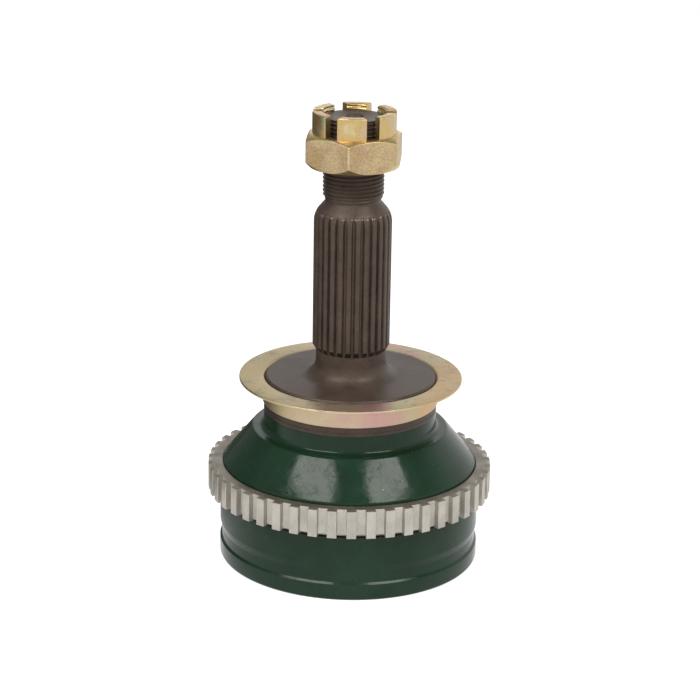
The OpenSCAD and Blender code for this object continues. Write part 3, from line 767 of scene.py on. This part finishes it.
sintered = sintered_steel("sintered_steel", "#bdb8af", "#cfcac0")
# A darker copy of the same steel, for the faces that look up.
sintered_darker_top = sintered_steel("sintered_steel_darker_top", "#8b8477", "#a8a195")
print("sintered:", sintered.name, sintered_darker_top.name)

# %% [markdown]
# ## Yellow-passivated zinc
# The shield and the nut are zinc plated and dipped in chromate. The film is thinner than
# the wavelength of light, so its colour follows its thickness: straw, gold, rose and green,
# in drifts of a centimetre or two. Optics could give the colours from a thickness, but a
# ramp over a noise can be matched to the object tint by tint. Where the dip ran off to one
# side, the thickness also grows evenly that way, and grey blots stain the top of the
# flange. Under the film the shield is smooth rolled sheet, the crown and the cones are
# turned, and the nut's flats are forged and blasted.

# %% Film and blots
DRAIN_REACH = 34 * MM


def film_tint(tree, where, shifted, tints, drift_mm, drained):
    """Colour ramp over the film's thickness: drifting noise, with a share that grows along X."""
    film = add(tree, "TexNoise", {"Vector": shifted, "Scale": per_mm(drift_mm), "Detail": 2.0})
    drift = add(tree, "MapRange", {"Value": film, **NEARLY_ALL, "To Max": 1 - drained})
    side = add(tree, "SeparateXYZ", {"Vector": where}).outputs["X"]
    slope = add(tree, "MapRange", {"Value": side, "From Min": -DRAIN_REACH, "From Max": DRAIN_REACH,
                                   "To Max": drained})
    thickness = add(tree, "Math", {0: drift, 1: slope}, operation="ADD")
    ramp = add(tree, "ValToRGB", {"Fac": thickness})
    stops = ramp.color_ramp.elements
    for _ in tints[2:]:
        stops.new(0.5)
    for index, code in enumerate(tints):
        stops[index].position = index / (len(tints) - 1)
        stops[index].color = linear(code)
    return ramp


def blotted(tree, where, shifted, colour, stained):
    """Colour with grey blots above a height, where wet parts lay against each other."""
    blots = add(tree, "TexNoise", {"Vector": shifted, "Scale": per_mm(6), "Detail": 7.0, "Roughness": 0.72})
    lost = add(tree, "MapRange", {"Value": blots, "From Min": 0.52, "From Max": 0.66, "To Max": 0.6})
    height = add(tree, "SeparateXYZ", {"Vector": where}).outputs["Z"]
    top = add(tree, "Math", {0: height, 1: stained}, operation="GREATER_THAN")
    share = add(tree, "Math", {0: lost, 1: top}, operation="MULTIPLY")
    return add(tree, "Mix", {SHARE: share, COLOUR_A: colour, COLOUR_B: linear("#8b8c84")}, data_type="RGBA")


# %% Zinc under its film


def zinc(name, tints, drift_mm, shift, smooth, coarse, grain_mm, grain_depth, line_depth,
         speckle, lined, drained=0.0, stained=None):
    """Chromated zinc: the film's tint over grain and lathe lines, which also darken it a little.
    Its roughness follows the grain, from smooth to coarse. The shift moves the drifts and the
    blots, so that each finish has its own."""
    material, tree, where = finish(name)
    shifted = add(tree, "Mapping", {"Vector": where, "Location": (shift, 0.3 * shift, 0.0)})
    tint = film_tint(tree, where, shifted, tints, drift_mm, drained)
    grain = add(tree, "TexNoise", {"Vector": where, "Scale": per_mm(grain_mm), "Detail": 2.0,
                                   "Roughness": 0.55})
    lines = lathe_lines(tree, where, 0.35)
    dust = add(tree, "MapRange", {"Value": grain, "From Min": 0.32, "From Max": 0.68,
                                  "To Min": 2 - speckle, "To Max": speckle})
    streak = add(tree, "MapRange", {"Value": lines, **MOST, "To Min": lined, "To Max": 1.0})
    both = add(tree, "Math", {0: dust, 1: streak}, operation="MULTIPLY")
    fine = add(tree, "Mix", {SHARE: 1.0, COLOUR_A: tint, COLOUR_B: both},
               data_type="RGBA", blend_type="MULTIPLY")
    if stained:
        fine = blotted(tree, where, shifted, fine, stained)
    rough = add(tree, "MapRange", {"Value": grain, **NEARLY_ALL, "To Min": smooth, "To Max": coarse})
    rings = add(tree, "Bump", {"Height": lines, "Strength": 0.5, "Distance": line_depth})
    bump = add(tree, "Bump", {"Height": grain, "Strength": 0.5, "Distance": grain_depth, "Normal": rings})
    metal = add(tree, "BsdfPrincipled", {
        "Base Color": fine, "Metallic": 0.92, "Roughness": rough, "Normal": bump})
    add(tree, "OutputMaterial", {"Surface": metal})
    return material


# %% Three zinc finishes
zinc_sheet = zinc(
    "zinc_passivated_sheet", drift_mm=18, shift=0.31, smooth=0.38, coarse=0.46, grain_mm=0.9,
    grain_depth=3 * MICRON, line_depth=2 * MICRON, speckle=0.98, lined=0.98, drained=0.7, stained=68.2 * MM,
    tints=("#bdb48f", "#c9b78b", "#d0bd98", "#dac6a6", "#d8aba4", "#cbbf98", "#d6b78c", "#ccb489"))
zinc_turned = zinc(
    "zinc_passivated_turned", drift_mm=7, shift=0.12, smooth=0.27, coarse=0.36, grain_mm=0.8,
    grain_depth=3 * MICRON, line_depth=6 * MICRON, speckle=0.96, lined=0.90,
    tints=("#c2bd92", "#e6d2ab", "#d9c083", "#d6b97c", "#dcba98", "#c3c08f"))
zinc_forged = zinc(
    "zinc_passivated_forged", drift_mm=9, shift=0.2, smooth=0.38, coarse=0.50, grain_mm=0.5,
    grain_depth=60 * MICRON, line_depth=0.0, speckle=0.76, lined=1.0,
    tints=("#c3b685", "#cbb78a", "#c7ae88", "#bfa37f", "#b8a070"))
print("zinc:", zinc_sheet.name, zinc_turned.name, zinc_forged.name)

# %% [markdown]
# ## Hardened and ground steel
# Inside the bell nothing is painted. The tracks and the inner race are hardened and ground,
# a darker grey with a thin film of grease. The cage is darker still from its phosphate
# bath, and the balls are lapped to a mirror. One function makes all three, since they are
# the same steel and differ only in tone and polish.

# %% Ground and lapped steel


def bright_steel(name, colour, smooth, coarse):
    """Bare hard steel: near mirror, with level grinding marks and a faint cloud of grease."""
    material, tree, where = finish(name)
    film = add(tree, "TexNoise", {"Vector": where, "Scale": per_mm(9), "Detail": 4.0})
    level = add(tree, "Mapping", {"Vector": where, "Scale": (1.0, 1.0, 8.0)})
    marks = add(tree, "TexNoise", {"Vector": level, "Scale": per_mm(3), "Detail": 3.0})
    rough = add(tree, "MapRange", {"Value": film, **MOST, "To Min": smooth, "To Max": coarse})
    bump = add(tree, "Bump", {"Height": marks, "Strength": 0.15, "Distance": 30 * MICRON})
    metal = add(tree, "BsdfPrincipled", {
        "Base Color": linear(colour), "Metallic": 1.0, "Roughness": rough, "Normal": bump})
    add(tree, "OutputMaterial", {"Surface": metal})
    return material


ground = bright_steel("ground_track_steel", "#8f8c88", 0.22, 0.38)
lapped = bright_steel("lapped_ball_steel", "#c9cbd0", 0.04, 0.12)
cage_steel = bright_steel("phosphated_cage_steel", "#5c5854", 0.3, 0.45)
print("bright steels:", ground.name, lapped.name, cage_steel.name)

# %% [markdown]
# ## Which finish goes where
# The bell's skin has three finishes: enamel outside, ground steel inside, and painted shade
# in the relief under the ring. The splines take painted shade on the bevel at their lower
# ends, the ring is darker on the faces that look up, and the nut's flats are blasted while
# its bevels, corners and crown are turned. Faces picked by hand would have to be picked again
# for each new mesh, so a face's centre and normal say which finish it takes.

# %% Dress a piece


def dress(piece, slot, *finishes):
    """Gives a piece its materials; the slot it belongs to is not used."""
    piece.data.materials.clear()
    for one in finishes:
        piece.data.materials.append(one)


def paint_faces(piece, test, index):
    """Gives a finish to the faces that pass a test of radius, height, normal and inward lean."""
    mesh = piece.data
    centre, normal = np.empty(len(mesh.polygons) * 3), np.empty(len(mesh.polygons) * 3)
    mesh.polygons.foreach_get("center", centre)
    mesh.polygons.foreach_get("normal", normal)
    centre, normal = centre.reshape(-1, 3) / MM, normal.reshape(-1, 3)
    out = np.hypot(centre[:, 0], centre[:, 1])
    inward = (centre[:, :2] * normal[:, :2]).sum(1) < -0.01 * out
    chosen = test(out, centre[:, 2], normal[:, 2], inward)
    finishes = np.zeros(len(mesh.polygons), np.int32)
    mesh.polygons.foreach_get("material_index", finishes)
    mesh.polygons.foreach_set("material_index", np.where(chosen, index, finishes).astype(np.int32))
    print(piece.name, int(chosen.sum()), "faces take finish", index)


# %% Tests of a face
# Upward parts of a normal that is level, looks up or looks down, then places in mm
LEVEL, UP, DOWN = 0.1, 0.7, -0.3
ROOF_R, CROWN_GAP, RUBBED = 31.0, 0.75, 0.06


def inside_bell(out, z, up, inward):
    """Faces of the room: no higher than its roof, and turned to the axis or close to it."""
    return (z < ROOM_TOP + 0.5) & (inward | (out < ROOF_R))


def relief_painted_shade(out, z, up, inward):
    """Faces of the small relief below the ring, which take the painted shade."""
    return (z > RELIEF_Z - 0.2) & (z < RING_Z - 0.01) & (out > SEAT_R - 0.5) & (out < RELIEF_R + 0.45)


def bevel_painted_shade(out, z, up, inward):
    """Faces that look down at the lower ends of the teeth, which take the painted shade."""
    return (up < DOWN) & (z < NECK_TOP + SPLINE_BEVEL)


def facing_up(out, z, up, inward):
    """Faces that look up, which take the darker copy of the finish."""
    return up > UP


def blasted_flat(out, z, up, inward):
    """Faces of the hexagon's sides: level normals outside the crown, short of the rubbed corners."""
    return (np.abs(up) < LEVEL) & (out > CROWN_R + CROWN_GAP) & (out < CORNER_R - RUBBED)


# %% Assign the finishes
# On the bell the third finish, the dark phosphate, is painted shade in the relief under the ring.
dress(bell, "forging", enamel, ground, scale)
paint_faces(bell, inside_bell, 1)
paint_faces(bell, relief_painted_shade, 2)
dress(stub, "forging", phosphate)
# On the splines the second finish, the dark phosphate, is painted shade on the downward bevels.
dress(splines, "forging", chipped_phosphate, scale)
paint_faces(splines, bevel_painted_shade, 1)
dress(ring, "sintered_ring", sintered, sintered_darker_top)
paint_faces(ring, facing_up, 1)
dress(shield, "zinc_shield", zinc_sheet)
dress(nut, "zinc_nut", zinc_turned, zinc_forged)
paint_faces(nut, blasted_flat, 1)
inner_steel = {"inner_race": ground, "cage": cage_steel, **{f"ball_{k}": lapped for k in range(1, 7)}}
for name, material in inner_steel.items():
    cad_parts[name].data.materials.clear()
    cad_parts[name].data.materials.append(material)

# %% [markdown]
# ## Stage and light
# The photo is a cut-out on white. A white room alone would give that, but it would veil the
# dark paint. So there are a pale floor that runs back out of sight, a white world, two
# overhead soft boxes a little to each side, whose reflections are the two patches on the
# cone, and a weak, wide fill from the front that no surface mirrors. Camera rays see the
# full white. So do glossy rays near the horizon, while overhead they see the studio's
# dimmer ceiling, which keeps the paint dark between the patches. The left ends of the bell
# and the collar mirror a dark corner of the room behind the part at the left, so the floor
# and the world are dark there for glossy rays alone. The light that falls on the part from
# all round is kept at a plain level.

# %% Floor
FLOOR_HALF, FLOOR_LIFT = 4.0, 0.62
FLOOR_MIRRORED, CORNER_MIRRORED = 0.95, 0.08
CORNER_X, CORNER_Y = (-70 * MM, -30 * MM), (0.0, 50 * MM)

floor_mesh = bpy.data.meshes.new("floor")
square = [(x * FLOOR_HALF, y * FLOOR_HALF, 0) for x, y in ((-1, -1), (1, -1), (1, 1), (-1, 1))]
floor_mesh.from_pydata(square, [], [(0, 1, 2, 3)])
floor = bpy.data.objects.new("floor", floor_mesh)
scene.collection.objects.link(floor)
paper, tree, where = finish("white_paper")
rays = add(tree, "LightPath")
clear = add(tree, "Math", {0: rays.outputs["Is Camera Ray"], 1: rays.outputs["Is Transmission Ray"]},
            operation="MAXIMUM")
matt = add(tree, "BsdfDiffuse", {"Color": (0.8, 0.8, 0.8, 1.0)})
lifted = add(tree, "AddShader", {0: matt, 1: add(tree, "Emission", {"Strength": FLOOR_LIFT})})
spot = add(tree, "SeparateXYZ", {"Vector": where})
left = add(tree, "MapRange", {"Value": spot.outputs["X"], "From Min": CORNER_X[0], "From Max": CORNER_X[1],
                              "To Min": CORNER_MIRRORED, "To Max": FLOOR_MIRRORED})
back = add(tree, "MapRange", {"Value": spot.outputs["Y"], "From Min": CORNER_Y[0], "From Max": CORNER_Y[1],
                              "To Min": FLOOR_MIRRORED, "To Max": CORNER_MIRRORED})
table = add(tree, "Math", {0: left, 1: back}, operation="MAXIMUM")
mirrored = add(tree, "Emission", {"Strength": table})
plain = add(tree, "MixShader", {0: rays.outputs["Is Glossy Ray"], 1: matt, 2: mirrored})
both = add(tree, "MixShader", {0: clear, 1: plain, 2: lifted})
add(tree, "OutputMaterial", {"Surface": both})
floor_mesh.materials.append(paper)
print("floor, m:", [round(v, 1) for v in floor.dimensions])

# %% World
# The ceiling fades in over a ray's upward part, the dark corner over its part along a direction
CEILING, CEILING_FROM, CEILING_TO = 0.3, 0.42, 0.62
CORNER, CORNER_FROM, CORNER_TO, CORNER_WAY = 0.2, 0.64, 0.86, (-0.8, 0.6, 0.0)
ALL_ROUND = 0.40

world = bpy.data.worlds.new("studio")
scene.world = world
world.use_nodes = True
tree = world.node_tree
tree.nodes.clear()
rays = add(tree, "LightPath")
way = add(tree, "TexCoord").outputs["Generated"]
upward = add(tree, "SeparateXYZ", {"Vector": way}).outputs["Z"]
ceiling = add(tree, "MapRange", {"Value": upward, "From Min": CEILING_FROM, "From Max": CEILING_TO,
                                 "To Min": 1.0, "To Max": CEILING})
along = add(tree, "VectorMath", {0: way, 1: CORNER_WAY}, operation="DOT_PRODUCT")
corner = add(tree, "MapRange", {"Value": along, "From Min": CORNER_FROM, "From Max": CORNER_TO,
                                "To Min": 1.0, "To Max": CORNER})
studio = add(tree, "Math", {0: ceiling, 1: corner}, operation="MULTIPLY")
unseen = add(tree, "Mix", {SHARE: rays.outputs["Is Glossy Ray"], NUMBER_A: ALL_ROUND, NUMBER_B: studio})
clear = add(tree, "Math", {0: rays.outputs["Is Camera Ray"], 1: rays.outputs["Is Transmission Ray"]},
            operation="MAXIMUM")
level = add(tree, "Mix", {SHARE: clear, NUMBER_A: unseen, NUMBER_B: 1.0})
sky = add(tree, "Background", {"Color": (1.0, 1.0, 1.0, 1.0), "Strength": level})
add(tree, "OutputWorld", {"Surface": sky})
print("world nodes:", len(tree.nodes))

# %% Lamps
LAMP_COLOUR = (1.0, 0.985, 0.95)
AIM = Vector((0, 0, 45 * MM))


def soft_box(name, direction, distance, size, watts):
    """Area lamp in a direction from the part's cone, facing it."""
    lamp = bpy.data.lights.new(name, "AREA")
    lamp.shape = "RECTANGLE"
    lamp.size, lamp.size_y = size
    lamp.energy, lamp.color = watts, LAMP_COLOUR
    thing = bpy.data.objects.new(name, lamp)
    way = Vector(direction).normalized()
    thing.location = way * distance + AIM
    thing.rotation_euler = way.to_track_quat("Z", "Y").to_euler()
    scene.collection.objects.link(thing)
    print(f"{name}: {watts} W at {tuple(round(v, 2) for v in thing.location)}")
    return thing


soft_box("soft_box_left", (-0.434, -0.406, 0.801), 1.0, (0.62, 0.25), 3.9)
soft_box("soft_box_right", (0.46, -0.40, 0.795), 1.0, (0.52, 0.25), 3.3)
fill = soft_box("front_fill", (0.05, -0.89, 0.45), 1.6, (1.2, 0.7), 5.5)
fill.visible_glossy = False

scene.view_settings.view_transform = "Standard"
